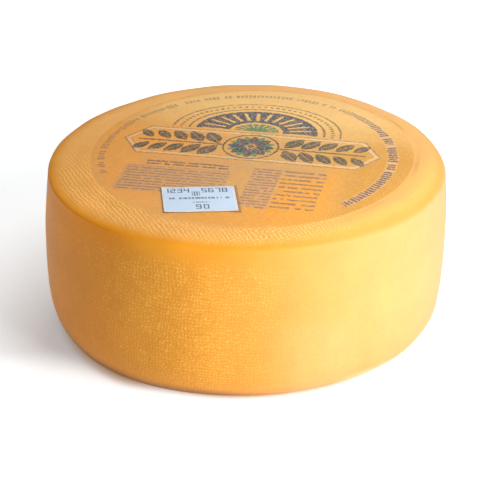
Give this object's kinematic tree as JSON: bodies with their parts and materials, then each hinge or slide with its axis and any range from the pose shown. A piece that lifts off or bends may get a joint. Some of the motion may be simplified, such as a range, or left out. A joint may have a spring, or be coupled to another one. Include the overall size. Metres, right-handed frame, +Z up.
{
  "type": "mantecoso cheese wheel",
  "caption": "Low round wheel of semi-hard cheese with rounded edges, a cloth-marked rind, a round printed top label and a small paper date sticker.",
  "frame": {"origin": "on the ground under the middle of the wheel's bounding box", "axes": "+Z up out of the labelled top, +Y the way the label's print reads upright, +X to the right of the print"},
  "size_m": [0.3032, 0.2972, 0.1314],
  "materials": {
    "rind": "golden yellow waxed rind, faintly marked by cloth, soft satin sheen",
    "printed_label": "thin orange label with a faded slate, green and mauve print, satin",
    "sticker_paper": "pale blue-white matt paper with dark grey print"
  },
  "bodies": {
    "root": {"cheese_wheel": "rind", "round_label": "printed_label", "date_sticker": "sticker_paper"}
  },
  "joints": []
}
